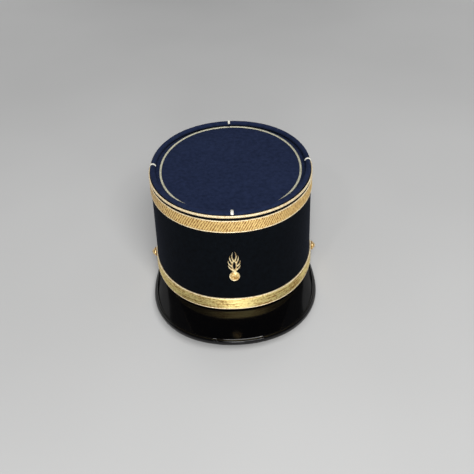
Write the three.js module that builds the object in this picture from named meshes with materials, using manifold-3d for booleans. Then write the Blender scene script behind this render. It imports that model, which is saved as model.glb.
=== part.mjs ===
import * as THREE from "three";
import { mergeVertices } from "three/addons/utils/BufferGeometryUtils.js";
import Module from "manifold-3d";

// A kepi: an oval cloth crown with a peak of patent leather, gold braid, a gold dress chin strap,
// two buttons and a flaming grenade badge.
// Millimetres. The crown is first drawn upright: the plane of its lower rim is z = 0, the front is
// -Y and the viewer's right is +X. At the end the whole hat is laid down the way it rests on a table.

// Driving sizes of the crown, in mm
const BASE_HALF_WIDTH = 88;
const BASE_HALF_LENGTH = 104;
const BASE_SQUARENESS = 2.19;
const TOP_HALF_WIDTH = 84.7;
const TOP_HALF_LENGTH = 90;
const TOP_SQUARENESS = 2.05;
const TOP_SHIFT_BACK = 4.5;
const FRONT_HEIGHT = 104.9;
const BACK_HEIGHT = 111.4;
const WALL = 3;

// Gap between any two pieces that touch on the real hat
const GAP = 0.3;

// Rim roll and top disc
const ROLL_RADIUS = 2.7;
const ROLL_INSET_SIDE = 3.3;
const ROLL_INSET_FRONT = 1.6;
const ROLL_LIFT = 4;
const ROLL_SIDES = 10;
const DISC_THICK = 2;
const DISC_SINK = 3.6;

// Braid: a ring on the disc, a thin one under the roll, short pieces over the roll, a wide one
const RING_WIDTH = 2.2;
const RING_INSET_SIDE = 11.1;
const RING_INSET_FRONT = 4.6;
const RING_THICK = 0.9;
const UPPER_BRAID_RISE = 1.5;
const UPPER_BRAID_HEIGHT = 2.6;
const UPPER_BRAID_THICK = 1;
const GALON_DROP = 3.4;
const GALON_HEIGHT = 12;
const GALON_THICK = 1;
const TICK_WIDTH = 2.9;
const TICK_THICK = 0.7;
const TICK_FROM = 4;
const TICK_TO = 130;
const TICK_SIDE_TURN = 2;

// Chin strap, from one button round the front to the other
const STRAP_WIDTH = 12.7;
const STRAP_LOW = 4;
const STRAP_THICK = 1.4;
const STRAP_END_BACK = -9;

// Buttons
const BUTTON_RADIUS = 5;
const BUTTON_BACK = -15;
const BUTTON_HEIGHT = 10.4;
const BUTTON_RIM = 1.1;
const BUTTON_DOME = 3.2;

// Peak: its outer edge is an oval in plan, about a centre stated as a share of the crown's length
const PEAK_SIDE_INSET = 0.6;
const PEAK_LENGTH = 42.8;
const PEAK_CENTRE_SHARE = 0.481;
const PEAK_SQUARENESS = 2.1;
const PEAK_END_TURN = 98.5;
const PEAK_ROOT_TURN = 72;
const PEAK_ROOT_HEIGHT = 2.6;
const PEAK_THICK = 2.2;
const PEAK_BOW = 1.25;
const PEAK_DROP = 5.6;
// How far the outer edge hangs below the rim plane: the turn from the tip in degrees, and the
// share of the deepest drop, which is below 0 where the edge stands above that plane
const PEAK_EDGE = [
  { turn: 0, share: -0.75 },
  { turn: 20, share: -0.57 },
  { turn: 37, share: -0.16 },
  { turn: 54, share: 0.3 },
  { turn: 69, share: 0.72 },
  { turn: 84, share: 1 },
  { turn: 98.5, share: 0.58 },
];

// Binding folded over the edge of the peak
const BINDING_WIDTH = 2.8;
const BINDING_THICK = 1.3;
const BINDING_UNDER = 2.8;
const BINDING_END_SHARE = 0.6;

// Badge: a grenade with seven flames, its sizes from the bottom of the ball upwards
const BADGE_HEIGHT = 32.2;
const BADGE_LOW = 37.5;
const BALL_RADIUS = 5.2;
const BALL_DOME = 2.6;
const FLAME_THICK = 1.3;
// Half of the flame body: height and half width as shares of the badge height
const FLAME_BODY = [
  { up: 0.335, half: 0.055 },
  { up: 0.4, half: 0.093 },
  { up: 0.466, half: 0.118 },
  { up: 0.53, half: 0.112 },
  { up: 0.59, half: 0.106 },
  { up: 0.652, half: 0.097 },
  { up: 0.714, half: 0.082 },
  { up: 0.776, half: 0.076 },
  { up: 0.839, half: 0.08 },
  { up: 0.9, half: 0.064 },
  { up: 0.963, half: 0.035 },
];
// Side tongues: root and tip in shares of the badge height, and how thick they are at the root
const TONGUES = [
  { rootOut: 0.06, rootUp: 0.37, tipOut: 0.182, tipUp: 0.55, thick: 0.06 },
  { rootOut: 0.08, rootUp: 0.49, tipOut: 0.182, tipUp: 0.705, thick: 0.06 },
  { rootOut: 0.07, rootUp: 0.62, tipOut: 0.122, tipUp: 0.866, thick: 0.06 },
];
// Openings in the flames: centre, half height and half width as shares of the badge height
const OPENINGS = [
  { up: 0.536, tall: 0.124, half: 0.04 },
  { up: 0.876, tall: 0.078, half: 0.02 },
];

// The ball's dome stops inside a flat rim, and a short neck ties the ball to the flames; the
// neck's sizes are shares of the ball's radius
const BALL_DOME_SHARE = 0.84;
const NECK_WIDTH_SHARE = 0.62;
const NECK_TALL_SHARE = 0.8;
const NECK_UP_SHARE = 1.913;
// Side tongues are thinner than the body, and each is drawn as a hook: how far its two curves
// bulge, as shares of its own thickness
const TONGUE_THICK_SHARE = 0.8;
const HOOK_OUTER = 0.35;
const HOOK_INNER = 0.9;
const HOOK_RISE = 0.6;
const HOOK_ROOT = 1.5;

// Steps round a closed loop and along the peak and the strap
const LOOP_STEPS = 96;
const PEAK_STEPS = 56;
const STRAP_STEPS = 56;
const CURVE_STEPS = 8;
const BALL_STEPS = 28;
const DOME_ROUND_STEPS = 24;
// Halvings of a search, and how close two points are before they count as one
const HALVINGS = 50;
const MERGE_WITHIN = 1e-4;

const FRONT = -Math.PI / 2;
const TURN = Math.PI * 2;

// Oval with a squareness: 2 is an ellipse, more is fuller at the corners
function oval(angle, halfWidth, halfLength, squareness) {
  const power = 2 / squareness;
  const c = Math.cos(angle);
  const s = Math.sin(angle);
  return new THREE.Vector2(
    halfWidth * Math.sign(c) * Math.abs(c) ** power,
    halfLength * Math.sign(s) * Math.abs(s) ** power,
  );
}

// Unit vector that points straight out of such an oval
function ovalOut(angle, halfWidth, halfLength, squareness) {
  const p = oval(angle, halfWidth, halfLength, squareness);
  const rise = squareness - 1;
  return new THREE.Vector2(
    (Math.sign(p.x) * Math.abs(p.x / halfWidth) ** rise) / halfWidth,
    (Math.sign(p.y) * Math.abs(p.y / halfLength) ** rise) / halfLength,
  ).normalize();
}

// Height of the crown's upper edge, which rises from the front to the back
function topHeight(y) {
  const share = (y - TOP_SHIFT_BACK + TOP_HALF_LENGTH) / (2 * TOP_HALF_LENGTH);
  return FRONT_HEIGHT + (BACK_HEIGHT - FRONT_HEIGHT) * share;
}

// Point of the crown's outside at an angle and a share of the height, moved outwards by `out`
function side(angle, share, out = 0) {
  const low = oval(angle, BASE_HALF_WIDTH, BASE_HALF_LENGTH, BASE_SQUARENESS);
  const high = oval(angle, TOP_HALF_WIDTH, TOP_HALF_LENGTH, TOP_SQUARENESS);
  high.y += TOP_SHIFT_BACK;
  const lowOut = ovalOut(angle, BASE_HALF_WIDTH, BASE_HALF_LENGTH, BASE_SQUARENESS);
  const highOut = ovalOut(angle, TOP_HALF_WIDTH, TOP_HALF_LENGTH, TOP_SQUARENESS);
  const at = low.clone().lerp(high, share);
  const away = lowOut.lerp(highOut, share).normalize();
  at.addScaledVector(away, out);
  return new THREE.Vector3(at.x, at.y, share * topHeight(high.y));
}

// Height of the crown's upper edge at an angle
function edgeHeight(angle) {
  return topHeight(oval(angle, TOP_HALF_WIDTH, TOP_HALF_LENGTH, TOP_SQUARENESS).y + TOP_SHIFT_BACK);
}

// Such a point, stated by its height over the rim plane
function sideAtHeight(angle, height, out) {
  return side(angle, height / edgeHeight(angle), out);
}

// Such a point, stated by its distance under the upper edge
function sideUnderEdge(angle, drop, out) {
  return side(angle, 1 - drop / edgeHeight(angle), out);
}

// Point of the top: an oval set in from the crown's upper edge, lifted over that edge's plane
function topPoint(angle, insetSide, insetFront, lift) {
  const p = oval(angle, TOP_HALF_WIDTH - insetSide, TOP_HALF_LENGTH - insetFront, TOP_SQUARENESS);
  const y = p.y + TOP_SHIFT_BACK;
  return new THREE.Vector3(p.x, y, topHeight(y) + lift);
}

function topOut(angle) {
  return ovalOut(angle, TOP_HALF_WIDTH, TOP_HALF_LENGTH, TOP_SQUARENESS);
}

// Geometry from points and triangles, turned so that its faces point out
function solid(points, faces) {
  let volume = 0;
  for (const [a, b, c] of faces) {
    volume += points[a].dot(points[b].clone().cross(points[c])) / 6;
  }
  const index = faces.flatMap(([a, b, c]) => (volume < 0 ? [a, c, b] : [a, b, c]));
  const geometry = new THREE.BufferGeometry();
  geometry.setAttribute(
    "position",
    new THREE.Float32BufferAttribute(points.flatMap((p) => [p.x, p.y, p.z]), 3),
  );
  geometry.setIndex(index);
  geometry.computeVertexNormals();
  return geometry;
}

// Skin over a row of sections of equal count. A closed row joins up; an open one gets two caps,
// cut the way the flat outline `cap` is cut.
function loft(sections, cap) {
  const count = sections[0].length;
  const points = sections.flat();
  const faces = [];
  const spans = cap ? sections.length - 1 : sections.length;
  for (let i = 0; i < spans; i += 1) {
    const here = i * count;
    const next = ((i + 1) % sections.length) * count;
    for (let j = 0; j < count; j += 1) {
      const k = (j + 1) % count;
      faces.push([here + j, next + j, next + k]);
      faces.push([here + j, next + k, here + k]);
    }
  }
  if (cap) {
    const last = (sections.length - 1) * count;
    const flip = THREE.ShapeUtils.isClockWise(cap);
    for (const [a, b, c] of THREE.ShapeUtils.triangulateShape(cap, [])) {
      faces.push(flip ? [a, c, b] : [a, b, c]);
      faces.push(flip ? [last + a, last + b, last + c] : [last + a, last + c, last + b]);
    }
  }
  return solid(points, faces);
}

function loopOf(section) {
  return loft(Array.from({ length: LOOP_STEPS }, (_, i) => section((i * TURN) / LOOP_STEPS)));
}

// Flat outline of a box, used to cut the caps of a band
function flatBox(width, height) {
  return [
    new THREE.Vector2(0, 0),
    new THREE.Vector2(width, 0),
    new THREE.Vector2(width, height),
    new THREE.Vector2(0, height),
  ];
}

// Band laid on the crown, its top edge at a drop under the crown's upper edge
function bandUnderEdge(drop, height, thick) {
  return loopOf((angle) => [
    sideUnderEdge(angle, drop + height, GAP),
    sideUnderEdge(angle, drop + height, GAP + thick),
    sideUnderEdge(angle, drop, GAP + thick),
    sideUnderEdge(angle, drop, GAP),
  ]);
}

// Crown side: a wall that stops just under the roll
const WALL_TOP_DROP = ROLL_RADIUS - ROLL_LIFT + GAP;
const crownSide = loopOf((angle) => [
  side(angle, 0, -WALL),
  side(angle, 0, 0),
  sideUnderEdge(angle, WALL_TOP_DROP, 0),
  sideUnderEdge(angle, WALL_TOP_DROP, -WALL),
]);

// Rim roll: a cord of cloth round the top
function rollPoint(angle, turn, radius) {
  const centre = topPoint(angle, ROLL_INSET_SIDE, ROLL_INSET_FRONT, ROLL_LIFT);
  const away = topOut(angle);
  const out = Math.cos(turn) * radius;
  return new THREE.Vector3(
    centre.x + away.x * out,
    centre.y + away.y * out,
    centre.z + Math.sin(turn) * radius,
  );
}

const rimRoll = loopOf((angle) =>
  Array.from({ length: ROLL_SIDES }, (_, j) => rollPoint(angle, (j * TURN) / ROLL_SIDES, ROLL_RADIUS)),
);

// Top disc: a plate sunk under the roll, out to the wall
const DISC_TOP = ROLL_LIFT - DISC_SINK;

function discEdge(angle, lift) {
  const p = sideUnderEdge(angle, -lift, -WALL - GAP);
  return new THREE.Vector3(p.x, p.y, topHeight(p.y) + lift);
}

function discSolid() {
  const points = [];
  for (let i = 0; i < LOOP_STEPS; i += 1) {
    const angle = (i * TURN) / LOOP_STEPS;
    points.push(discEdge(angle, DISC_TOP), discEdge(angle, DISC_TOP - DISC_THICK));
  }
  const middle = topHeight(TOP_SHIFT_BACK) + DISC_TOP;
  const top = points.push(new THREE.Vector3(0, TOP_SHIFT_BACK, middle)) - 1;
  const under = points.push(new THREE.Vector3(0, TOP_SHIFT_BACK, middle - DISC_THICK)) - 1;
  const faces = [];
  for (let i = 0; i < LOOP_STEPS; i += 1) {
    const here = i * 2;
    const next = ((i + 1) % LOOP_STEPS) * 2;
    faces.push([here, here + 1, next + 1], [here, next + 1, next]);
    faces.push([top, here, next], [under, next + 1, here + 1]);
  }
  return solid(points, faces);
}

// Ring of braid on the disc
const ringLow = DISC_TOP + GAP;
const ringHigh = ringLow + RING_THICK;
function ringPoint(angle, inwards, lift) {
  return topPoint(angle, RING_INSET_SIDE + inwards, RING_INSET_FRONT + inwards, lift);
}

const topRing = loopOf((angle) => [
  ringPoint(angle, RING_WIDTH / 2, ringLow),
  ringPoint(angle, -RING_WIDTH / 2, ringLow),
  ringPoint(angle, -RING_WIDTH / 2, ringHigh),
  ringPoint(angle, RING_WIDTH / 2, ringHigh),
]);

// Short pieces of braid that arch over the roll, the two at the sides a little to the front
const TICK_STEPS = 8;
const tickTurn = THREE.MathUtils.degToRad(TICK_SIDE_TURN);
function tick(angle) {
  const halfAngle = TICK_WIDTH / 2 / Math.hypot(...topPoint(angle, 0, 0, 0).toArray().slice(0, 2));
  const low = ROLL_RADIUS + GAP;
  const high = low + TICK_THICK;
  const sections = Array.from({ length: TICK_STEPS + 1 }, (_, i) => {
    const turn = THREE.MathUtils.degToRad(TICK_FROM + ((TICK_TO - TICK_FROM) * i) / TICK_STEPS);
    return [
      rollPoint(angle - halfAngle, turn, low),
      rollPoint(angle + halfAngle, turn, low),
      rollPoint(angle + halfAngle, turn, high),
      rollPoint(angle - halfAngle, turn, high),
    ];
  });
  return loft(sections, flatBox(TICK_WIDTH, TICK_THICK));
}

// Chin strap: level round the front, ending just behind each button
function angleAtBack(y, height) {
  let near = FRONT;
  let far = 0;
  for (let i = 0; i < HALVINGS; i += 1) {
    const middle = (near + far) / 2;
    if (sideAtHeight(middle, height, 0).y < y) near = middle;
    else far = middle;
  }
  return near;
}

const strapEnd = angleAtBack(STRAP_END_BACK, STRAP_LOW + STRAP_WIDTH / 2);
const strapSweep = 2 * (strapEnd - FRONT);
const chinStrap = loft(
  Array.from({ length: STRAP_STEPS + 1 }, (_, i) => {
    const angle = FRONT - strapSweep / 2 + (strapSweep * i) / STRAP_STEPS;
    const high = STRAP_LOW + STRAP_WIDTH;
    return [
      sideAtHeight(angle, STRAP_LOW, GAP),
      sideAtHeight(angle, STRAP_LOW, GAP + STRAP_THICK),
      sideAtHeight(angle, high, GAP + STRAP_THICK),
      sideAtHeight(angle, high, GAP),
    ];
  }),
  flatBox(STRAP_THICK, STRAP_WIDTH),
);

// Button: a domed disc whose flat back lies on the strap. It is turned about +Z, then laid sideways.
const BUTTON_STEPS = 20;
const DOME_STEPS = 5;
function buttonGeometry() {
  const profile = [new THREE.Vector2(0, 0), new THREE.Vector2(BUTTON_RADIUS, 0)];
  for (let i = 0; i <= DOME_STEPS; i += 1) {
    const turn = (i * Math.PI) / 2 / DOME_STEPS;
    const r = Math.cos(turn) * BUTTON_RADIUS;
    profile.push(new THREE.Vector2(i < DOME_STEPS ? r : 0, BUTTON_RIM + Math.sin(turn) * BUTTON_DOME));
  }
  const lathe = new THREE.LatheGeometry(profile, BUTTON_STEPS);
  lathe.deleteAttribute("normal");
  lathe.deleteAttribute("uv");
  return mergeVertices(lathe, MERGE_WITHIN);
}

function button(sign) {
  const angle = angleAtBack(BUTTON_BACK, BUTTON_HEIGHT);
  const seat = sideAtHeight(angle, BUTTON_HEIGHT, GAP + STRAP_THICK + 2 * GAP);
  const away = ovalOut(angle, BASE_HALF_WIDTH, BASE_HALF_LENGTH, BASE_SQUARENESS);
  const geometry = buttonGeometry();
  const turn = new THREE.Quaternion().setFromUnitVectors(
    new THREE.Vector3(0, 1, 0),
    new THREE.Vector3(sign * away.x, away.y, 0),
  );
  geometry.applyQuaternion(turn);
  geometry.translate(sign * seat.x, seat.y, seat.z);
  return geometry;
}

// Drop of the peak's edge at a turn, eased between the rows of its table
function edgeShare(at) {
  const rows = [{ turn: -PEAK_EDGE[1].turn, share: PEAK_EDGE[1].share }, ...PEAK_EDGE];
  const last = rows.length - 2;
  const found = rows.findIndex((row, k) => k > 0 && row.turn > at);
  const i = found < 0 ? last : Math.max(1, found - 1);
  const slope = (k) => {
    const after = rows[Math.min(k + 1, rows.length - 1)];
    const before = rows[k - 1];
    return (after.share - before.share) / (after.turn - before.turn);
  };
  const from = rows[i];
  const to = rows[i + 1];
  const width = to.turn - from.turn;
  const t = (at - from.turn) / width;
  return (
    (2 * t ** 3 - 3 * t ** 2 + 1) * from.share +
    (t ** 3 - 2 * t ** 2 + t) * slope(i) * width +
    (3 * t ** 2 - 2 * t ** 3) * to.share +
    (t ** 3 - t ** 2) * slope(i + 1) * width
  );
}

function peakDrop(turn) {
  return PEAK_DROP * edgeShare(Math.abs(turn));
}

// Where the peak meets the crown, at a height: `along` runs from -1 to 1 round the peak
function peakRoot(along, height) {
  return sideAtHeight(FRONT + THREE.MathUtils.degToRad(PEAK_ROOT_TURN * along), height, GAP);
}

// Upper face of the peak: `reach` runs from 0 at the crown to 1 at the edge
function peakTop(along, reach) {
  const root = peakRoot(along, PEAK_ROOT_HEIGHT);
  const turn = PEAK_END_TURN * along;
  const radians = THREE.MathUtils.degToRad(turn);
  const centre = PEAK_CENTRE_SHARE * BASE_HALF_LENGTH;
  const halfWidth = BASE_HALF_WIDTH - PEAK_SIDE_INSET;
  const reachOut = BASE_HALF_LENGTH + PEAK_LENGTH - centre;
  const plan = oval(FRONT + radians, halfWidth, reachOut, PEAK_SQUARENESS);
  const edge = new THREE.Vector3(plan.x, plan.y - centre, -peakDrop(turn));
  const point = root.clone().lerp(edge, reach);
  point.z = root.z + (edge.z - root.z) * Math.sign(reach) * Math.abs(reach) ** PEAK_BOW;
  return point;
}

// How wide the peak is there, measured straight in from its edge
function peakWidth(along) {
  const step = 1 / PEAK_STEPS;
  const inwards = peakTop(along, 0).sub(peakTop(along, 1)).setZ(0);
  const round = peakTop(along + step, 1).sub(peakTop(along - step, 1)).setZ(0).normalize();
  return Math.abs(inwards.x * round.y - inwards.y * round.x);
}

// Point at a distance outside the peak's edge (inside is below 0), lifted off the upper face
function peakAtEdge(along, out, lift) {
  const point = peakTop(along, 1 + out / peakWidth(along));
  point.z += lift;
  return point;
}

const PEAK_SPANS = 5;
const peak = loft(
  Array.from({ length: PEAK_STEPS + 1 }, (_, i) => {
    const along = -1 + (2 * i) / PEAK_STEPS;
    const upper = [];
    const lower = [];
    for (let k = 0; k <= PEAK_SPANS; k += 1) {
      const reach = k / PEAK_SPANS;
      upper.push(peakTop(along, reach));
      lower.unshift(
        k === 0
          ? peakRoot(along, PEAK_ROOT_HEIGHT - PEAK_THICK)
          : peakTop(along, reach).sub(new THREE.Vector3(0, 0, PEAK_THICK)),
      );
    }
    return [...upper, ...lower];
  }),
  [
    ...Array.from({ length: PEAK_SPANS + 1 }, (_, k) => new THREE.Vector2(k, 1)),
    ...Array.from({ length: PEAK_SPANS + 1 }, (_, k) => new THREE.Vector2(PEAK_SPANS - k, 0)),
  ],
);

// Binding: a strip folded round the outer edge, narrower where the peak runs out at its ends
function bindingSection(along) {
  const share = Math.min(1, (BINDING_END_SHARE * peakWidth(along)) / BINDING_WIDTH);
  const over = BINDING_WIDTH * share;
  const under = BINDING_UNDER * share;
  const inner = -PEAK_THICK - GAP;
  const t = BINDING_THICK;
  return [
    [-over, GAP],
    [-over / 2, GAP],
    [GAP, GAP],
    [GAP, inner],
    [-under / 2, inner],
    [-under, inner],
    [-under, inner - t],
    [GAP + t / 2, inner - t],
    [GAP + t, inner - t / 2],
    [GAP + t, GAP + t / 2],
    [GAP + t / 2, GAP + t],
    [-over, GAP + t],
  ];
}

const binding = loft(
  Array.from({ length: PEAK_STEPS + 1 }, (_, i) => {
    const along = -1 + (2 * i) / PEAK_STEPS;
    return bindingSection(along).map(([out, lift]) => peakAtEdge(along, out, lift));
  }),
  bindingSection(0).map(([x, y]) => new THREE.Vector2(x, y)),
);

// Badge, drawn flat with +Y up and +Z out of the cloth
const wasm = await Module();
wasm.setup();

function toManifold(geometry) {
  const bare = geometry.clone();
  bare.deleteAttribute("normal");
  bare.deleteAttribute("uv");
  const merged = mergeVertices(bare, MERGE_WITHIN);
  return new wasm.Manifold(
    new wasm.Mesh({
      numProp: 3,
      vertProperties: merged.attributes.position.array,
      triVerts: new Uint32Array(merged.index.array),
    }),
  );
}

function fromManifold(body) {
  const mesh = body.getMesh();
  const geometry = new THREE.BufferGeometry();
  const count = mesh.vertProperties.length / mesh.numProp;
  const positions = new Float32Array(count * 3);
  for (let i = 0; i < count; i += 1) {
    for (let k = 0; k < 3; k += 1) positions[i * 3 + k] = mesh.vertProperties[i * mesh.numProp + k];
  }
  geometry.setAttribute("position", new THREE.BufferAttribute(positions, 3));
  geometry.setIndex(Array.from(mesh.triVerts));
  geometry.computeVertexNormals();
  return geometry;
}

function cut(shape, thick, from) {
  const geometry = new THREE.ExtrudeGeometry(shape, {
    depth: thick,
    bevelEnabled: false,
    curveSegments: CURVE_STEPS,
  });
  geometry.translate(0, 0, from);
  return toManifold(geometry);
}

function flameBody() {
  const right = FLAME_BODY.map((r) => new THREE.Vector2(r.half * BADGE_HEIGHT, r.up * BADGE_HEIGHT));
  const left = right.map((p) => new THREE.Vector2(-p.x, p.y)).reverse();
  const shape = new THREE.Shape();
  shape.moveTo(right[0].x, right[0].y);
  shape.splineThru(right.slice(1));
  shape.lineTo(0, BADGE_HEIGHT);
  shape.lineTo(left[0].x, left[0].y);
  shape.splineThru(left.slice(1));
  shape.closePath();
  return shape;
}

function tongue(row, sign) {
  const h = BADGE_HEIGHT;
  const tip = new THREE.Vector2(sign * row.tipOut * h, row.tipUp * h);
  const rootUp = row.rootUp * h;
  const thick = row.thick * h;
  const inner = sign * (row.rootOut * h - thick);
  const middle = (rootUp + tip.y) / 2;
  const shape = new THREE.Shape();
  shape.moveTo(inner, rootUp);
  shape.quadraticCurveTo(tip.x + sign * thick * HOOK_OUTER, middle - thick, tip.x, tip.y);
  shape.quadraticCurveTo(
    tip.x - sign * thick * HOOK_INNER,
    middle + thick * HOOK_RISE,
    inner,
    rootUp + thick * HOOK_ROOT,
  );
  shape.closePath();
  return shape;
}

function almond(row) {
  const h = BADGE_HEIGHT;
  const shape = new THREE.Shape();
  const low = (row.up - row.tall) * h;
  const high = (row.up + row.tall) * h;
  const half = row.half * h * 2;
  shape.moveTo(0, low);
  shape.quadraticCurveTo(half, row.up * h, 0, high);
  shape.quadraticCurveTo(-half, row.up * h, 0, low);
  return shape;
}

function badgeSolid() {
  let body = cut(flameBody(), FLAME_THICK, 0);
  for (const row of TONGUES) {
    for (const sign of [-1, 1]) {
      body = body.add(cut(tongue(row, sign), FLAME_THICK * TONGUE_THICK_SHARE, 0));
    }
  }
  for (const row of OPENINGS) body = body.subtract(cut(almond(row), FLAME_THICK * 3, -FLAME_THICK));
  const rim = wasm.Manifold.cylinder(FLAME_THICK, BALL_RADIUS, BALL_RADIUS, BALL_STEPS);
  const domeRadius = BALL_RADIUS * BALL_DOME_SHARE;
  const dome = wasm.Manifold.sphere(domeRadius, DOME_ROUND_STEPS)
    .scale([1, 1, BALL_DOME / domeRadius])
    .trimByPlane([0, 0, 1], 0)
    .translate([0, 0, FLAME_THICK / 2]);
  const neckSize = [BALL_RADIUS * NECK_WIDTH_SHARE, BALL_RADIUS * NECK_TALL_SHARE, FLAME_THICK];
  const neck = wasm.Manifold.cube(neckSize, true)
    .translate([0, BALL_RADIUS * NECK_UP_SHARE, FLAME_THICK / 2]);
  const ball = rim.add(dome).translate([0, BALL_RADIUS, 0]);
  return fromManifold(body.add(ball).add(neck));
}

// The badge stands on the front, its back along the cloth
function badge() {
  const low = sideAtHeight(FRONT, BADGE_LOW, GAP);
  const high = sideAtHeight(FRONT, BADGE_LOW + BADGE_HEIGHT, GAP);
  const up = high.clone().sub(low).normalize();
  const across = new THREE.Vector3(1, 0, 0);
  const out = across.clone().cross(up);
  const place = new THREE.Matrix4().makeBasis(across, up, out).setPosition(low);
  return badgeSolid().applyMatrix4(place);
}

// Colours of the materials
const material = (colour, roughness, metalness) =>
  new THREE.MeshStandardMaterial({ color: colour, roughness, metalness });
const navy = material(0x1b2338, 0.95, 0);
const darkNavy = material(0x10141f, 0.95, 0);
const gold = material(0xc9a35a, 0.45, 0.7);
const paleGold = material(0xb5ad94, 0.55, 0.5);
const brass = material(0xd2a24a, 0.3, 1);
const patent = material(0x050505, 0.12, 0);

const upright = new THREE.Group();
function piece(name, geometry, look) {
  const mesh = new THREE.Mesh(geometry, look);
  mesh.name = name;
  upright.add(mesh);
}

piece("crown_side", crownSide, darkNavy);
piece("top_disc", discSolid(), navy);
piece("rim_roll", rimRoll, navy);
piece("top_ring_braid", topRing, paleGold);
piece("rim_tick_front", tick(FRONT), paleGold);
piece("rim_tick_back", tick(-FRONT), paleGold);
piece("rim_tick_left", tick(Math.PI + tickTurn), paleGold);
piece("rim_tick_right", tick(-tickTurn), paleGold);
piece("upper_braid", bandUnderEdge(-UPPER_BRAID_RISE, UPPER_BRAID_HEIGHT, UPPER_BRAID_THICK), gold);
piece("galon", bandUnderEdge(GALON_DROP, GALON_HEIGHT, GALON_THICK), gold);
piece("chin_strap", chinStrap, gold);
piece("button_left", button(-1), brass);
piece("button_right", button(1), brass);
piece("grenade", badge(), brass);
piece("peak", peak, patent);
piece("peak_binding", binding, patent);

// Laid down: the hat leans back until the rear rim and the sides of the peak stand on one level
const STEEPEST_LEAN = Math.PI / 9;
function lowest(geometry, angle, front) {
  const c = Math.cos(angle);
  const s = Math.sin(angle);
  const at = geometry.attributes.position;
  let low = Infinity;
  for (let i = 0; i < at.count; i += 1) {
    if (at.getY(i) < 0 === front) low = Math.min(low, at.getY(i) * s + at.getZ(i) * c);
  }
  return low;
}

function restLean() {
  let near = -STEEPEST_LEAN;
  let far = 0;
  for (let i = 0; i < HALVINGS; i += 1) {
    const middle = (near + far) / 2;
    if (lowest(binding, middle, true) > lowest(crownSide, middle, false)) near = middle;
    else far = middle;
  }
  return (near + far) / 2;
}

upright.rotation.x = restLean();
upright.updateMatrixWorld(true);
const extent = new THREE.Box3().setFromObject(upright, true);
upright.position.y = -(extent.min.y + extent.max.y) / 2;
upright.position.z = -extent.min.z;

const kepi = new THREE.Group();
kepi.add(upright);

export default kepi;
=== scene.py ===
import math

import bpy
import numpy as np
from mathutils import Matrix, Vector


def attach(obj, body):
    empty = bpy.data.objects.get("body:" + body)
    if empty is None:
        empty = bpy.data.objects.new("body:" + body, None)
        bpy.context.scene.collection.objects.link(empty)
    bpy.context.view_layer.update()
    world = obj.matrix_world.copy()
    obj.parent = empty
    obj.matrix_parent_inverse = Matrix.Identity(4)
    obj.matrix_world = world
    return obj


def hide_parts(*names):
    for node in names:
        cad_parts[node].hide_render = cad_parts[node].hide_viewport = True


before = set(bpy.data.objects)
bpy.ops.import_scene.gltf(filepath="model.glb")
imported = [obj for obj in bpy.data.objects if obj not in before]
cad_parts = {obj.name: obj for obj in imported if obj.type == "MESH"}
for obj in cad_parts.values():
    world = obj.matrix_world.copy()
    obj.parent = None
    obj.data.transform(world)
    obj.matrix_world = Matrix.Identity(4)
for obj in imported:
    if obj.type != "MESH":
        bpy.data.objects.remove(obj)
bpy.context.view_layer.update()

# The kepi with its finished surfaces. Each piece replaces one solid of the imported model.
# The hat is drawn upright in millimetres: the rim plane is z = 0, the front is -Y.
# For the side and the braids, a drop is measured down from the crown's upper edge and out is away from it.

# Sizes shared with the solids: the crown
BASE_HALF_WIDTH = 88.0
BASE_HALF_LENGTH = 104.0
BASE_SQUARENESS = 2.19
TOP_HALF_WIDTH = 84.7
TOP_HALF_LENGTH = 90.0
TOP_SQUARENESS = 2.05
TOP_SHIFT_BACK = 4.5
FRONT_HEIGHT = 104.9
BACK_HEIGHT = 111.4
WALL = 3.0
GAP = 0.3
ROLL_RADIUS = 2.7
ROLL_INSET_SIDE = 3.3
ROLL_INSET_FRONT = 1.6
ROLL_LIFT = 4.0
DISC_SINK = 3.6
DISC_THICK = 2.0

# Sizes shared with the solids: braids, strap, buttons and badge
RING_WIDTH = 2.2
RING_THICK = 0.9
RING_INSET_SIDE = 11.1
RING_INSET_FRONT = 4.6
UPPER_BRAID_RISE = 1.5
UPPER_BRAID_THICK = 1.0
GALON_DROP = 3.4
GALON_HEIGHT = 12.0
GALON_THICK = 1.0
TICK_WIDTH = 2.9
TICK_THICK = 0.7
TICK_FROM = 4.0
TICK_TO = 130.0
TICK_SIDE_TURN = 2.0
STRAP_WIDTH = 12.7
STRAP_LOW = 4.0
STRAP_THICK = 1.4
STRAP_END_BACK = -9.0
BUTTON_RADIUS = 5.0
BUTTON_BACK = -15.0
BUTTON_HEIGHT = 10.4
BUTTON_RIM = 1.1
BUTTON_DOME = 3.2
BADGE_HEIGHT = 32.2
BADGE_LOW = 37.5
BALL_RADIUS = 5.2

# Sizes shared with the solids: peak and binding
PEAK_SIDE_INSET = 0.6
PEAK_LENGTH = 42.8
PEAK_CENTRE_SHARE = 0.481
PEAK_SQUARENESS = 2.1
PEAK_END_TURN = 98.5
PEAK_ROOT_TURN = 72.0
PEAK_ROOT_HEIGHT = 2.6
PEAK_THICK = 2.2
PEAK_BOW = 1.25
PEAK_DROP = 5.6
# How far the edge hangs below the rim plane, as shares of the drop, at turns in degrees from the tip.
# The first turn repeats the third on the other side of the tip.
PEAK_EDGE_TURN = [-20, 0, 20, 37, 54, 69, 84, 98.5]
PEAK_EDGE_SHARE = [-0.57, -0.75, -0.57, -0.16, 0.3, 0.72, 1.0, 0.58]
BINDING_WIDTH = 2.8
BINDING_THICK = 1.3
BINDING_UNDER = 2.8
BINDING_END_SHARE = 0.6

# Sizes of the finished pieces alone
# How much lower the roll is pressed at the front, and how fast that grows from the sides
ROLL_PRESS = 1.2
ROLL_PRESS_GROWTH = 1.5
# How far the ring braid is drawn back at the front
RING_DRAWN_BACK = 0.9
UPPER_BRAID_HEIGHT = 2.25
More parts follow.
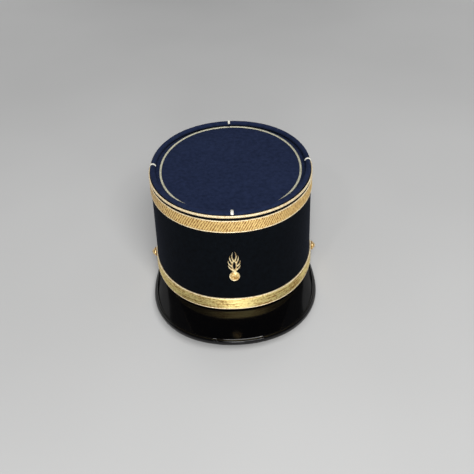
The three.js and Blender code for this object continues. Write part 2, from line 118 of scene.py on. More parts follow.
# How many degrees round the roll a tick starts before and ends after the solid's
TICK_LEAD = 6.0
TICK_TUCK = 35.0
TICK_SIDE_WIDTH = 2.2
RING_PLAIT_PITCH = 1.5
TICK_PLAIT_PITCH = 1.3
UPPER_PLAIT_PITCH = 1.7
LACE_RIB_PITCH = 2.6
LACE_RIB_SLANT = 0.62
# Shares of a boss's radius: its dome, and the badge's field of deeper gold
BALL_DOME_SHARE = 0.78
BALL_FIELD_SHARE = 0.8

# Rows on each corded edge of a lace, and steps along the peak
LACE_EDGE_ROWS = 5
PEAK_STEPS = 240

# Lengths of the flattened leather, for its texture coordinates alone
PEAK_EDGE_RUN = 300
PEAK_ROUND = 90
BINDING_ROUND = 20

# Steps round the hat, most for the braids, whose strands are modelled
CLOTH_STEPS = 420
DISC_STEPS = 360
ROLL_STEPS = 720
BRAID_STEPS = 1500

# How the hat leans as it rests, and where that puts its rim plane
LEAN = math.radians(-4.8984)
REST_Y = 20.8316
REST_Z = 8.8805

# The camera, stated in the upright hat's own axes
CAMERA_AT = (1.41, -438.15, 357.96)
CAMERA_UP_ANGLE = 38.07
CAMERA_YAW = -0.37
CAMERA_ROLL = -2.03
CAMERA_LENS = 36.01
CAMERA_SENSOR = 36.0

# The studio, in metres and watts: name, place, size and power of each light
LIGHTS = [
    ("key", (0.25, -1.25, 1.75), (1.5, 1.1), 46),
    ("lamp_front", (0.0, -1.3, 0.45), (0.3, 0.2), 4.6),
    ("lamp_left", (-0.55, -0.75, 1.1), (0.09, 0.09), 1.2),
    ("lamp_right", (0.6, -0.7, 1.1), (0.09, 0.09), 1),
    ("card_left", (-0.93, 1.05, 0.6), (1.2, 0.9), 3.4),
    ("card_right", (0.93, 1.05, 0.6), (1.2, 0.9), 3.4),
]
LIGHT_TARGET = (0, 0, 0.05)
WORLD_COLOUR = (0.93, 0.95, 1.0, 1)
WORLD_STRENGTH = 0.1
FLOOR_REACH = 3.0

MM_PER_M = 1000
FRONT = -math.pi / 2
TURN = 2 * math.pi
BASE_OVAL = (BASE_HALF_WIDTH, BASE_HALF_LENGTH, BASE_SQUARENESS)
TOP_OVAL = (TOP_HALF_WIDTH, TOP_HALF_LENGTH, TOP_SQUARENESS)


def place(points):
    """Upright millimetres to the row frame in metres."""
    upright = np.asarray(points, float)
    cos_lean, sin_lean = math.cos(LEAN), math.sin(LEAN)
    row = np.empty_like(upright)
    row[..., 0] = upright[..., 0]
    row[..., 1] = upright[..., 1] * cos_lean - upright[..., 2] * sin_lean + REST_Y
    row[..., 2] = upright[..., 1] * sin_lean + upright[..., 2] * cos_lean + REST_Z
    return row / MM_PER_M


# Shape of the crown
def oval(angle, half_width, half_length, squareness):
    """Point of an oval. Squareness 2 is an ellipse, and more is squarer."""
    across, forth = np.cos(angle), np.sin(angle)
    power = 2 / squareness
    x = half_width * np.sign(across) * np.abs(across) ** power
    y = half_length * np.sign(forth) * np.abs(forth) ** power
    return x, y


def oval_out(angle, half_width, half_length, squareness):
    """The direction straight out of that oval, of length 1."""
    x, y = oval(angle, half_width, half_length, squareness)
    power = squareness - 1
    out_x = np.sign(x) * np.abs(x / half_width) ** power / half_width
    out_y = np.sign(y) * np.abs(y / half_length) ** power / half_length
    length = np.hypot(out_x, out_y)
    return out_x / length, out_y / length


def top_height(y):
    share = (y - TOP_SHIFT_BACK + TOP_HALF_LENGTH) / (2 * TOP_HALF_LENGTH)
    return FRONT_HEIGHT + (BACK_HEIGHT - FRONT_HEIGHT) * share


def edge_height(angle):
    return top_height(oval(angle, *TOP_OVAL)[1] + TOP_SHIFT_BACK)


def side(angle, share, out):
    """Point of the crown's outside at an angle and a share of its height, moved outwards."""
    angle, share, out = np.broadcast_arrays(angle, share, out)
    base_x, base_y = oval(angle, *BASE_OVAL)
    top_x, top_y = oval(angle, *TOP_OVAL)
    top_y = top_y + TOP_SHIFT_BACK
    base_out_x, base_out_y = oval_out(angle, *BASE_OVAL)
    top_out_x, top_out_y = oval_out(angle, *TOP_OVAL)
    out_x = base_out_x + (top_out_x - base_out_x) * share
    out_y = base_out_y + (top_out_y - base_out_y) * share
    length = np.hypot(out_x, out_y)
    x = base_x + (top_x - base_x) * share + out * out_x / length
    y = base_y + (top_y - base_y) * share + out * out_y / length
    return np.stack([x, y, share * top_height(top_y)], -1)


def side_at(angle, height, out):
    return side(angle, height / edge_height(angle), out)


def side_under(angle, drop, out):
    return side(angle, 1 - drop / edge_height(angle), out)


def top_point(angle, inset_side, inset_front, lift):
    """Point above the sloping top plane, inset from the crown's upper edge."""
    x, y = oval(angle, TOP_HALF_WIDTH - inset_side, TOP_HALF_LENGTH - inset_front, TOP_SQUARENESS)
    y = y + TOP_SHIFT_BACK
    return np.stack(np.broadcast_arrays(x, y, top_height(y) + lift), -1)


def roll_point(angle, turn, radius):
    """Point about the roll's middle line: turn 0 is outwards and a quarter turn is up."""
    centre = top_point(angle, ROLL_INSET_SIDE, ROLL_INSET_FRONT, ROLL_LIFT)
    out_x, out_y = oval_out(angle, *TOP_OVAL)
    out = np.cos(turn) * radius
    lift = np.sin(turn) * radius
    # the upper half of the roll is pressed flatter from the sides to the front
    forward = (TOP_SHIFT_BACK - centre[..., 1]) * ROLL_PRESS_GROWTH / TOP_HALF_LENGTH
    press = np.clip(forward, 0, 1) * ROLL_PRESS / ROLL_RADIUS
    lift = np.where(lift > 0, lift * (1 - press), lift)
    return centre + np.stack(np.broadcast_arrays(out_x * out, out_y * out, lift), -1)


def angle_at_back(y, height):
    """Angle on the +X side where the crown's outside reaches y at a height, found by halving."""
    near, far = FRONT, 0.0
    halvings = 40
    for _ in range(halvings):
        middle = (near + far) / 2
        if side_at(middle, height, 0.0)[1] < y:
            near = middle
        else:
            far = middle
    return near


def even_steps(fine, curve, count):
    """Angles at even distances along a curve, and those distances in mm, measured over fine angles."""
    steps = np.linalg.norm(np.diff(curve(fine), axis=0), axis=1)
    run = np.concatenate([[0], np.cumsum(steps)])
    at = np.linspace(0, run[-1], count + 1)
    return np.interp(at, run, fine), at


def even_angles(count, curve):
    """The same once round a closed curve: count angles, and distances with the whole length last."""
    fine_steps = 7200
    angles, run = even_steps(np.linspace(FRONT, FRONT + TURN, fine_steps + 1), curve, count)
    return angles[:-1], run


def even_pitch(length, pitch):
    """The pitch next to the given one that divides a closed length evenly."""
    return length / round(length / pitch)


def waves(seed, along, length, across, wavelength):
    """Smooth waves of height about 1 that repeat over a closed length, made from a fixed seed."""
    count = 14
    fewest, most, steepest = 0.5, 1.6, 0.8
    random = np.random.default_rng(seed)
    total = np.zeros(np.broadcast(along, across).shape)
    for _ in range(count):
        turns = max(1, round(length / wavelength * random.uniform(fewest, most)))
        rise = TURN / wavelength * random.uniform(-steepest, steepest)
        phase = random.uniform(0, TURN)
        total = total + np.sin(TURN * turns * along / length + rise * across + phase)
    return total / math.sqrt(count)


# Meshes
def signed_volume(verts, faces):
    """Six times the volume, below 0 where the faces look inwards."""
    volume = 0.0
    for group in faces:
        first = verts[group[:, 0]]
        for k in range(1, group.shape[1] - 1):
            volume += np.einsum("ij,ij->", first, np.cross(verts[group[:, k]], verts[group[:, k + 1]]))
    return volume


def mesh_object(name, verts, faces, uvs, material):
    """Closed solid from vertices, arrays of faces with one size each, and one UV for each corner."""
    verts = np.asarray(verts, float)
    inwards = signed_volume(verts, faces) < 0
    corners, starts, texture = [], [], []
    at = 0
    for group, uv in zip(faces, uvs):
        if inwards:
            group, uv = group[:, ::-1], uv[:, ::-1]
        corners.append(group.ravel())
        texture.append(uv.reshape(-1, 2))
        starts.append(at + np.arange(len(group)) * group.shape[1])
        at += group.size
    corners = np.concatenate(corners)
    starts = np.concatenate(starts)
    mesh = bpy.data.meshes.new(name)
    mesh.vertices.add(len(verts))
    mesh.vertices.foreach_set("co", verts.astype(np.float32).ravel())
    mesh.loops.add(len(corners))
    mesh.loops.foreach_set("vertex_index", corners.astype(np.int32))
    mesh.polygons.add(len(starts))
    mesh.polygons.foreach_set("loop_start", starts.astype(np.int32))
    layer = mesh.uv_layers.new(name="UVMap")
    layer.uv.foreach_set("vector", np.concatenate(texture).astype(np.float32).ravel())
    mesh.update(calc_edges=True)
    mesh.validate()
    mesh.polygons.foreach_set("use_smooth", np.ones(len(mesh.polygons), bool))
    mesh.materials.append(material)
    obj = bpy.data.objects.new(name, mesh)
    bpy.context.scene.collection.objects.link(obj)
    return obj


def grid_quads(rounds, columns, closed_round, closed_across):
    """Faces of a grid of points (round, across), which may close up either way."""
    i = np.arange(rounds if closed_round else rounds - 1)[:, None]
    j = np.arange(columns if closed_across else columns - 1)[None, :]
    next_i = (i + 1) % rounds * columns
    next_j = (j + 1) % columns
    corners = np.broadcast_arrays(i * columns + j, next_i + j, next_i + next_j, i * columns + next_j)
    return np.stack(corners, -1).reshape(-1, 4)


def skin_parts(points, u, v, closed):
    """Vertices, faces and UVs of a grid of points (round, across). Across always closes up."""
    rounds, columns = points.shape[:2]
    spans = rounds if closed else rounds - 1
    v_next = np.append(v[1:], v[-1])
    uv = np.empty((spans, columns, 4, 2))
    uv[:, :, 0, 0] = uv[:, :, 3, 0] = u[:spans, None]
    uv[:, :, 1, 0] = uv[:, :, 2, 0] = u[1 : spans + 1, None]
    uv[:, :, 0, 1] = uv[:, :, 1, 1] = v[None, :]
    uv[:, :, 2, 1] = uv[:, :, 3, 1] = v_next[None, :]
    faces = [grid_quads(rounds, columns, closed, True)]
    uvs = [uv.reshape(-1, 4, 2)]
    if not closed:
        low = np.arange(columns)[None, ::-1]
        high = np.arange(columns)[None, :] + (rounds - 1) * columns
        cap_uv = np.stack([np.zeros(columns), v], -1)[None]
        faces += [low, high]
        uvs += [cap_uv[:, ::-1], cap_uv]
    return points.reshape(-1, 3), faces, uvs


def skin(name, points, u, v, closed, material):
    verts, faces, uvs = skin_parts(points, u / MM_PER_M, v / MM_PER_M, closed)
    return mesh_object(name, place(verts), faces, uvs, material)


def join_parts(name, parts, material):
    """One object of several closed shells, each a (vertices, faces, uvs)."""
    verts, faces, uvs = [], [], []
    first = 0
    for part_verts, part_faces, part_uvs in parts:
        verts.append(part_verts)
        faces += [group + first for group in part_faces]
        uvs += part_uvs
        first += len(part_verts)
    return mesh_object(name, place(np.concatenate(verts)), faces, uvs, material)


def lay_out(parts, seat, across, up, out):
    """Shells drawn flat, placed at a seat along three directions."""
    placed = []
    for verts, faces, uvs in parts:
        points = seat + verts[:, :1] * across + verts[:, 1:2] * up + verts[:, 2:] * out
        placed.append((points, faces, uvs))
    return placed


def mirrored(left, middle):
    """A symmetric outline of (across, high) points from its left half and its middle height."""
    right = [(-across, high) for across, high in reversed(left)]
    return left + [(0.0, middle)] + right


def stand_for(obj, node):
    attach(obj, "root")
    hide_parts(node)
    return obj


# Materials
def new_material(name, **sockets):
    material = bpy.data.materials.new(name)
    material.use_nodes = True
    shader = material.node_tree.nodes["Principled BSDF"]
    for key, value in sockets.items():
        shader.inputs[key.replace("_", " ")].default_value = value
    return material, material.node_tree.nodes, material.node_tree.links, shader


def node(nodes, kind, **values):
    made = nodes.new(kind)
    for key, value in values.items():
        if key in made.bl_rna.properties:
            setattr(made, key, value)
        else:
            made.inputs[key.replace("_", " ")].default_value = value
    return made


def noise(nodes, links, vector, **values):
    """A noise texture that reads a vector socket. Returns its factor."""
    made = node(nodes, "ShaderNodeTexNoise", **values)
    links.new(vector, made.inputs["Vector"])
    return made.outputs["Fac"]


def calculate(nodes, links, operation, *values):
    """A Math node whose inputs are sockets or plain numbers."""
    made = node(nodes, "ShaderNodeMath", operation=operation)
    for slot, value in zip(made.inputs, values):
        if isinstance(value, (int, float)):
            slot.default_value = value
        else:
            links.new(value, slot)
    return made.outputs[0]


def ramp(nodes, links, factor, target, stops):
    """Drives a shader socket by a factor through a ramp of (place, colour) stops."""
    made = node(nodes, "ShaderNodeValToRGB")
    elements = made.color_ramp.elements
    for element, (at, colour) in zip(elements, stops):
        element.position = at
        element.color = (*colour, 1)
    links.new(factor, made.inputs["Fac"])
    links.new(made.outputs["Color"], target)


def bump(nodes, links, height, shader, strength, distance, before=None):
    """Fine relief by a factor, added to that of the bump before it. Distances are in metres."""
    made = node(nodes, "ShaderNodeBump", Strength=strength, Distance=distance)
    links.new(height, made.inputs["Height"])
    if before is not None:
        links.new(before.outputs["Normal"], made.inputs["Normal"])
    links.new(made.outputs["Normal"], shader.inputs["Normal"])
    return made


def grey(value):
    return (value, value, value)


def cloth_material(name, dark, light, sheen):
    """Woollen cloth with a short nap: mottled fibres, a soft fuzz at grazing angles."""
    material, nodes, links, shader = new_material(
        name, Roughness=0.95, Specular_IOR_Level=0.08, Sheen_Weight=sheen, Sheen_Roughness=0.45,
        Sheen_Tint=(0.35, 0.45, 0.8, 1),
    )
    fibre_share, cloud_share = 0.45, 0.2
    where = node(nodes, "ShaderNodeTexCoord").outputs["Object"]
    fibres = noise(nodes, links, where, Scale=1500.0, Detail=4.0, Roughness=0.7)
    patches = noise(nodes, links, where, Scale=240.0, Detail=3.0, Roughness=0.6)
    clouds = noise(nodes, links, where, Scale=22.0, Detail=2.0)
    mixed = calculate(nodes, links, "MULTIPLY_ADD", fibres, fibre_share, patches)
    summed = calculate(nodes, links, "MULTIPLY_ADD", clouds, cloud_share, mixed)
    ramp(nodes, links, summed, shader.inputs["Base Color"], [(0.5, dark), (1.0, light)])
    nap = bump(nodes, links, fibres, shader, strength=0.5, distance=0.00035)
    bump(nodes, links, patches, shader, strength=0.3, distance=0.0006, before=nap)
    return material


def painted_rib_shade(nodes, links, uv, slope, pitch, depth):
    """Painted shade and highlight of ribs across a braid: waves of a pitch in mm that lean by a slope,
    which darken the colour in the valleys and lighten it on the crests.
    """
    parts = node(nodes, "ShaderNodeSeparateXYZ")
    links.new(uv, parts.inputs[0])
    lean = calculate(nodes, links, "MULTIPLY", parts.outputs[1], -slope)
    along = calculate(nodes, links, "ADD", parts.outputs[0], lean)
    phase = calculate(nodes, links, "MULTIPLY", along, TURN * MM_PER_M / pitch)
    wave = calculate(nodes, links, "SINE", phase)
    return calculate(nodes, links, "MULTIPLY", wave, depth)


def braid_material(
    name, valley, crest, scale, slant, rib_shading, metallic, roughness, stops=(0.56, 0.84), spread=0.0
):
    """Metal thread, in UV metres: fine strands turned by a slant, with painted glints, over painted rib
    shade of a slope, pitch and depth, darker in the rib valleys and lighter on the crests.

    A spread above 0 draws the highlights out, like brushed metal.
    """
    material, nodes, links, shader = new_material(
        name, Metallic=metallic, Roughness=roughness, Anisotropic=spread, Anisotropic_Rotation=0.25)
    if spread > 0:
        lie = node(nodes, "ShaderNodeTangent", direction_type="UV_MAP")
        links.new(lie.outputs["Tangent"], shader.inputs["Tangent"])
    glint_share, contrast = 0.6, 0.94
    where = node(nodes, "ShaderNodeTexCoord")
    turned = node(nodes, "ShaderNodeMapping", Rotation=(0, 0, slant))
    links.new(where.outputs["UV"], turned.inputs["Vector"])
    stretched = node(nodes, "ShaderNodeMapping", Scale=(*scale, 1))
    links.new(turned.outputs["Vector"], stretched.inputs["Vector"])
    threads = noise(nodes, links, stretched.outputs["Vector"], Scale=1.0, Detail=3.0, Roughness=0.65)
    # painted glints: a noise that lightens the thread colour in random flecks
    glints = noise(nodes, links, where.outputs["Object"], Scale=420.0, Detail=3.0, Roughness=0.7)
    # painted shade in the rib valleys and painted highlight on the rib crests
    ribs = painted_rib_shade(nodes, links, where.outputs["UV"], *rib_shading)
    soft = calculate(nodes, links, "MULTIPLY", glints, glint_share)
    # thread tone with the painted glints added
    grain = calculate(nodes, links, "ADD", threads, soft)
    summed = calculate(nodes, links, "ADD", grain, ribs)
    scaled = calculate(nodes, links, "MULTIPLY", summed, contrast)
    ramp(nodes, links, scaled, shader.inputs["Base Color"], [(stops[0], valley), (stops[1], crest)])
    bump(nodes, links, threads, shader, strength=0.8, distance=0.0003)
    return material


def gilt_material(name, metallic, grain, worn, bright, shine):
    """Stamped gilt metal with uneven wear: shine is its roughness where it is bright."""
    material, nodes, links, shader = new_material(name, Metallic=metallic)
    worn_shine = shine * 1.6
    where = node(nodes, "ShaderNodeTexCoord").outputs["Object"]
    wear = noise(nodes, links, where, Scale=grain, Detail=4.0, Roughness=0.6)
    ramp(nodes, links, wear, shader.inputs["Base Color"], [(0.36, worn), (0.56, bright)])
    ramp(nodes, links, wear, shader.inputs["Roughness"], [(0.3, grey(worn_shine)), (0.7, grey(shine))])
    bump(nodes, links, wear, shader, strength=0.25, distance=0.0002)
    return material


def patent_material(name, roughness, coat):
    """Black patent leather: a thick gloss over a faint long ripple and a few dust specks."""
    material, nodes, links, shader = new_material(
        name, Coat_Weight=coat, Coat_Roughness=0.05, Specular_IOR_Level=0.1,
    )
    black, dust = (0.0009, 0.0009, 0.0011), (0.0022, 0.0021, 0.0024)
    dusty_roughness = roughness * 1.9
    where = node(nodes, "ShaderNodeTexCoord").outputs["Object"]
    ripple = noise(nodes, links, where, Scale=38.0, Detail=1.0)
    grain = noise(nodes, links, where, Scale=900.0, Detail=3.0)
    ramp(nodes, links, grain, shader.inputs["Base Color"], [(0.3, black), (0.75, dust)])
    ramp(nodes, links, grain, shader.inputs["Roughness"],
         [(0.35, grey(roughness)), (0.75, grey(dusty_roughness))])
    long_wave = bump(nodes, links, ripple, shader, strength=0.12, distance=0.002)
    links.new(long_wave.outputs["Normal"], shader.inputs["Coat Normal"])
    bump(nodes, links, grain, shader, strength=0.05, distance=0.0001, before=long_wave)
    return material


def floor_material():
    """Plain light grey paper."""
    material, nodes, links, shader = new_material("floor_paper", Roughness=0.9, Specular_IOR_Level=0.2)
    darker, lighter = (0.5, 0.5, 0.495), (0.53, 0.53, 0.525)
    where = node(nodes, "ShaderNodeTexCoord").outputs["Object"]
    tone = noise(nodes, links, where, Scale=3.0, Detail=2.0)
    ramp(nodes, links, tone, shader.inputs["Base Color"], [(0.3, darker), (0.7, lighter)])
    return material


navy = cloth_material("navy_cloth", dark=(0.005, 0.0095, 0.027), light=(0.0138, 0.0215, 0.056), sheen=0.035)
dark_navy = cloth_material(
    "dark_navy_cloth", dark=(0.0003, 0.0006, 0.0011), light=(0.0015, 0.0026, 0.0042), sheen=0.02)
galon_gold = braid_material(
    "galon_gold", valley=(0.22, 0.075, 0.01), crest=(0.78, 0.55, 0.2), scale=(1500, 260), slant=0.6,
    rib_shading=(LACE_RIB_SLANT, LACE_RIB_PITCH, 0.16), metallic=0.3, roughness=0.4)
strap_gold = braid_material(
    "strap_gold", valley=(0.42, 0.18, 0.025), crest=(1.0, 0.84, 0.35), scale=(36, 560), slant=0.0,
    rib_shading=(0.0, 30.0, 0.0), metallic=0.8, roughness=0.48, stops=(0.6, 0.8), spread=0.7)
edge_gold = braid_material(
    "edge_gold", valley=(0.55, 0.33, 0.12), crest=(1.0, 0.88, 0.6), scale=(2200, 900), slant=0.9,
    rib_shading=(0.5, 1.0, 0.1), metallic=0.25, roughness=0.42)
pale_braid = braid_material(
    "pale_braid", valley=(0.3, 0.28, 0.2), crest=(0.97, 0.95, 0.84), scale=(2400, 800), slant=0.9,
    rib_shading=(0.5, 1.5, 0.1), metallic=0.1, roughness=0.5)
ring_braid = braid_material(
    "ring_braid_thread", valley=(0.2, 0.19, 0.12), crest=(0.68, 0.66, 0.5), scale=(2400, 800), slant=0.9,
    rib_shading=(0.5, 1.5, 0.1), metallic=0.1, roughness=0.5)
gilt = gilt_material(
    "gilt", metallic=0.9, grain=500.0, worn=(0.62, 0.36, 0.12), bright=(1.0, 0.74, 0.36), shine=0.28)
pale_gilt = gilt_material(
    "pale_gilt", metallic=0.4, grain=330.0, worn=(0.42, 0.25, 0.08), bright=(0.86, 0.75, 0.47), shine=0.44)
ball_gilt = gilt_material(
    "ball_gilt", metallic=0.5, grain=330.0, worn=(0.4, 0.19, 0.03), bright=(0.9, 0.66, 0.28), shine=0.36)
patent = patent_material("patent_leather", roughness=0.09, coat=0.085)
patent_edge = patent_material("patent_binding", roughness=0.08, coat=0.36)


# Crown side
def build_crown_side():
    angles, run = even_angles(CLOTH_STEPS, lambda a: side_at(a, 0.0, 0.0))
    full = edge_height(angles) + ROLL_LIFT - ROLL_RADIUS - GAP
    lower_fold, upper_fold, fold_share = 0.6, 0.4, 0.0075
    outside_steps, inside_steps = 43, 15
    # outline of (out, share of the height): inner bottom, lower fold, up the outside, over, down the inside
    outline = [(-WALL + lower_fold, 0.0), (-lower_fold, 0.0), (-0.18, 0.0018), (0.0, fold_share)]
    first_outside = len(outline)
    outline += [(0.0, share) for share in np.linspace(0.02, 1.0, outside_steps + 1)]
    end_outside = len(outline)
    outline += [(-upper_fold, 1.0), (-WALL + upper_fold, 1.0)]
    outline += [(-WALL, share) for share in np.linspace(0.985, fold_share, inside_steps + 1)]
    ripple_seed, ripple_depth, ripple_length = 3, 0.07, 60.0
    points = np.empty((len(angles), len(outline), 3))
    for k, (out, share) in enumerate(outline):
        height = share * full
        if first_outside <= k < end_outside:
            out = out + ripple_depth * waves(ripple_seed, run[:-1], run[-1], height, ripple_length)
        points[:, k] = side_at(angles, height, out)
    unrolled_height = 108
    v = np.array([share if out > -WALL / 2 else -share for out, share in outline]) * unrolled_height
    return stand_for(skin("crown_cloth", points, run, v, True, dark_navy), "crown_side")


# Sunk top
def disc_swell(x, y):
    """Soft unevenness of the stretched cloth, in mm."""
    broad = 0.16 * np.sin(x * 0.071 + 1.3) * np.cos(y * 0.063)
    narrow = 0.1 * np.sin(x * 0.15 - y * 0.11)
    return broad + narrow


def build_top_disc():
    angles, _ = even_angles(DISC_STEPS, lambda a: top_point(a, 0, 0, 0))
    lift = ROLL_LIFT - DISC_SINK
    dish_depth = 0.5
    edge = side_under(angles, -lift, -WALL - GAP)

    # the cloth dishes in the middle, and its swell dies away at the rim
    def ring(share, height, dished):
        x = edge[:, 0] * share
        y = TOP_SHIFT_BACK + (edge[:, 1] - TOP_SHIFT_BACK) * share
        z = top_height(y) + height
        if dished:
            z = z + (-dish_depth * (1 - share**2) + disc_swell(x, y) * (1 - share**6))
        return np.stack([x, y, z], -1)

    hub = 0.04
    upper_shares = np.concatenate([np.linspace(hub, 0.93, 34), np.linspace(0.945, 1, 6)])
    lower_shares = (1.0, 0.97, 0.7, 0.35, hub)
    grid = [ring(share, lift, True) for share in upper_shares]
    grid += [ring(share, lift - DISC_THICK, False) for share in lower_shares]
    points = np.stack(grid, 1)
    rounds, columns = points.shape[:2]
    middles = [points[:, 0].mean(0), points[:, -1].mean(0)]
    verts = np.concatenate([points.reshape(-1, 3), middles])
    top_middle = rounds * columns
    under_middle = top_middle + 1
    first = np.arange(rounds) * columns
    after = np.roll(first, -1)
    last = columns - 1
    top_fan = np.stack([np.full(rounds, top_middle), after, first], -1)
    under_fan = np.stack([np.full(rounds, under_middle), first + last, after + last], -1)
    faces = [grid_quads(rounds, columns, True, False), top_fan, under_fan]
    uvs = [verts[group][:, :, :2] / MM_PER_M for group in faces]
    return stand_for(mesh_object("top_cloth", place(verts), faces, uvs, navy), "top_disc")


# Rim roll
def build_rim_roll():
    angles, run = even_angles(ROLL_STEPS, lambda a: top_point(a, ROLL_INSET_SIDE, ROLL_INSET_FRONT, 0))
    sides = 20
    turns = np.arange(sides) * TURN / sides
    crease_seed, crease_depth, crease_length, crease_run = 11, 0.05, 9.0, 3.0
    crease = waves(crease_seed, run[:-1, None], run[-1], crease_run * turns[None, :], crease_length)
    inside_solid = 0.06
    points = roll_point(angles[:, None], turns[None, :], ROLL_RADIUS - inside_solid + crease_depth * crease)
    obj = skin("roll_cloth", points, run, turns * ROLL_RADIUS, True, navy)
    return stand_for(obj, "rim_roll")


# Plaited braid
def plait(high, along, across, pitch, depth):
    """Share of the thickness at a point of the outline, with strands cut in that meet in the middle."""
    strand_lean, strands_above = 0.55, 0.3
    strands = depth * np.abs(np.sin(math.pi * (along / pitch + strand_lean * np.abs(across))))
    return high - strands * (high > strands_above)


def across_braid(profile, width):
    """Where each point of an outline lies across a braid, in mm."""
    return np.array([across for across, _ in profile]) * width / 2


# Braid ring on the top
def build_top_ring():
    angles, run = even_angles(BRAID_STEPS, lambda a: top_point(a, RING_INSET_SIDE, RING_INSET_FRONT, 0))
    along = run[:-1]
    pitch = even_pitch(run[-1], RING_PLAIT_PITCH)
    depth, sunk, swollen = 0.22, 0.25, 0.2
    # the two ends of the braid meet at the back and are tucked in there
    tuck_length, tuck_thinnest, tuck_narrowing = 1.4, 0.25, 0.4
    joint = np.clip(np.abs(along - run[-1] / 2) / tuck_length, tuck_thinnest, 1.0)
    narrowed = 1 - tuck_narrowing + tuck_narrowing * joint
    profile = mirrored([(-1.0, 0.0), (-0.98, 0.35), (-0.82, 0.72), (-0.5, 0.94)], 0.86) + [(0.0, -0.05)]
    points = np.empty((len(angles), len(profile), 3))
    for k, (across, high) in enumerate(profile):
        inset = RING_WIDTH / 2 * across * narrowed
        rise = (RING_THICK + swollen) * plait(high, along, across, pitch, depth) * joint
        lift = ROLL_LIFT - DISC_SINK + GAP - sunk + rise
        points[:, k] = top_point(angles, RING_INSET_SIDE + inset, RING_INSET_FRONT + inset, lift)
        forward = (TOP_SHIFT_BACK - points[:, k, 1]) / TOP_HALF_LENGTH
        points[:, k, 1] += RING_DRAWN_BACK * np.clip(forward, 0, 1) ** 2
    obj = skin("ring_braid", points, run, across_braid(profile, RING_WIDTH), True, ring_braid)
    return stand_for(obj, "top_ring_braid")


# Short braids over the roll
def build_tick(name, angle, width):
    steps = 40
    depth, sunk, swollen, side_clearance = 0.2, 0.2, 0.15, 0.1
    turns = np.radians(np.linspace(TICK_FROM - TICK_LEAD, TICK_TO + TICK_TUCK, steps + 1))
    reach = np.linalg.norm(top_point(np.array([angle]), 0, 0, 0)[0, :2])
    profile = mirrored([(-1.0, 0.0), (-0.94, 0.55), (-0.6, 0.95)], 0.85)
    along = turns * ROLL_RADIUS
    points = np.empty((steps + 1, len(profile), 3))
    for k, (across, high) in enumerate(profile):
        rise = (TICK_THICK + swollen) * plait(high, along, across, TICK_PLAIT_PITCH, depth)
        off = across * (width / 2 - side_clearance) / reach
        points[:, k] = roll_point(angle + off, turns, ROLL_RADIUS + GAP - sunk + rise)
    obj = skin(name + "_braid", points, along, across_braid(profile, width), False, pale_braid)
    return stand_for(obj, name)


def build_ticks():
    side_turn = math.radians(TICK_SIDE_TURN)
    build_tick("rim_tick_front", FRONT, TICK_WIDTH)
    build_tick("rim_tick_back", -FRONT, TICK_WIDTH)
    build_tick("rim_tick_left", math.pi + side_turn, TICK_SIDE_WIDTH)
    build_tick("rim_tick_right", -side_turn, TICK_SIDE_WIDTH)


# Narrow braid under the roll
def build_upper_braid():
    angles, run = even_angles(BRAID_STEPS, lambda a: side_under(a, 0.0, GAP))
    pitch = even_pitch(run[-1], UPPER_PLAIT_PITCH)
    depth, sunk = 0.17, 0.15
    profile = mirrored([(-1.0, 0.0), (-0.97, 0.5), (-0.8, 0.86), (-0.45, 1.0)], 0.92) + [(0.0, -0.02)]
    points = np.empty((len(angles), len(profile), 3))
    middle = -UPPER_BRAID_RISE + UPPER_BRAID_HEIGHT / 2
    for k, (across, high) in enumerate(profile):
        rise = (UPPER_BRAID_THICK + sunk) * plait(high, run[:-1], across, pitch, depth)
        drop = middle - across * UPPER_BRAID_HEIGHT / 2
        points[:, k] = side_under(angles, drop, GAP - sunk + rise)
    v = across_braid(profile, UPPER_BRAID_HEIGHT)
    return stand_for(skin("upper_braid_plait", points, run, v, True, edge_gold), "upper_braid")


# Lace between two corded edges
def lace_rows(edge, field, count):
    """Rows across a lace, from -1 to 1: listed ones on the corded edges, even ones on the field."""
    edge = np.array(edge)
    return np.concatenate([-edge, np.linspace(-field, field, count), edge[::-1]])


def cord_out(across, cord_from, thick, shoulder, along, pitch, tucked):
    """How far a corded edge stands out: a round whipped cord, and less at the very edge."""
    if abs(across) == 1.0:
        return np.full(len(along), tucked)
    whipping = 0.05
    middle = (1 + cord_from) / 2
    off_middle = (abs(across) - middle) / (1 - middle)
    bulge = math.sqrt(max(0.0, 1 - off_middle * off_middle))
    out = thick * (shoulder + (1 - shoulder) * bulge)
    return out - whipping * np.abs(np.sin(math.pi * along / pitch))


def cord_edges(obj, rows):
    """Gives the corded edges and the back of a lace the edge's gold."""
    columns = rows + 1
    obj.data.materials.append(edge_gold)
    index = np.zeros(len(obj.data.polygons), np.int32)
    spans = len(index) // columns
    grid = index[: spans * columns].reshape(spans, columns)
    grid[:, : LACE_EDGE_ROWS - 1] = 1
    grid[:, rows - LACE_EDGE_ROWS :] = 1
    obj.data.polygons.foreach_set("material_index", index)


